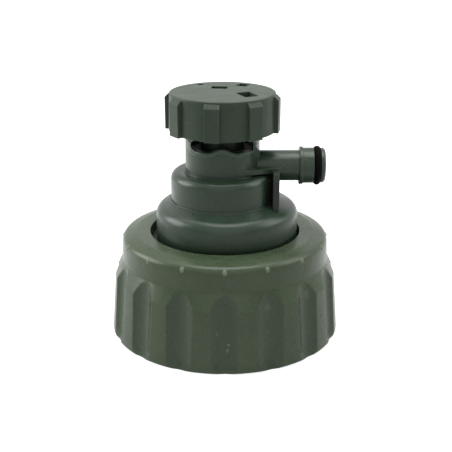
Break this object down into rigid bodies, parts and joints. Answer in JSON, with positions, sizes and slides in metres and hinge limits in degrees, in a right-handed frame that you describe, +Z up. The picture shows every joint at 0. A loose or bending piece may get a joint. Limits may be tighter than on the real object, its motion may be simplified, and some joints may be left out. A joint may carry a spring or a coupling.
{
  "type": "jerrycan tap",
  "caption": "Quarter-turn tap on a fluted screw collar for a wide-mouth jerrycan: stepped body, ribbed knob over a cam-windowed neck and a side outlet with an O-ring end.",
  "frame": {"origin": "centre of the collar's foot, on the surface the part stands on", "axes": "+Z up along the collar's axis, +X along the outlet away from the neck, the picture looks along +Y; the valve's and knob's axis is parallel to +Z, 1.1 mm towards -X"},
  "size_m": [0.114, 0.114, 0.1191],
  "materials": {
    "collar_plastic": "satin moulded, slightly yellower green than the body",
    "body_plastic": "satin moulded dark green",
    "knob_plastic": "satin moulded dark green",
    "rotor_plastic": "near-black moulded",
    "rubber": "black rubber",
    "spring_steel": "drawn wire",
    "pin_steel": "ground pin"
  },
  "bodies": {
    "tap": {"tap_body": "body_plastic", "outlet_o_ring": "rubber", "mouth_gasket": "rubber", "seat_seal": "rubber"},
    "knob": {"knob": "knob_plastic", "valve_rotor": "rotor_plastic", "rotor_o_ring_upper": "rubber", "rotor_o_ring_lower": "rubber", "rotor_spring": "spring_steel", "detent_pin": "pin_steel"},
    "collar": {"collar": "collar_plastic"}
  },
  "joints": [
    {"name": "knob_turn", "type": "hinge", "parent": "tap", "child": "knob", "pos_m": [-0.0011, 0, 0.106], "axis": [0, 0, 1], "range_deg": [-90, 0]},
    {"name": "collar_spin", "type": "hinge", "parent": "tap", "child": "collar", "pos_m": [0, 0, 0.0255], "axis": [0, 0, 1], "continuous": true}
  ]
}
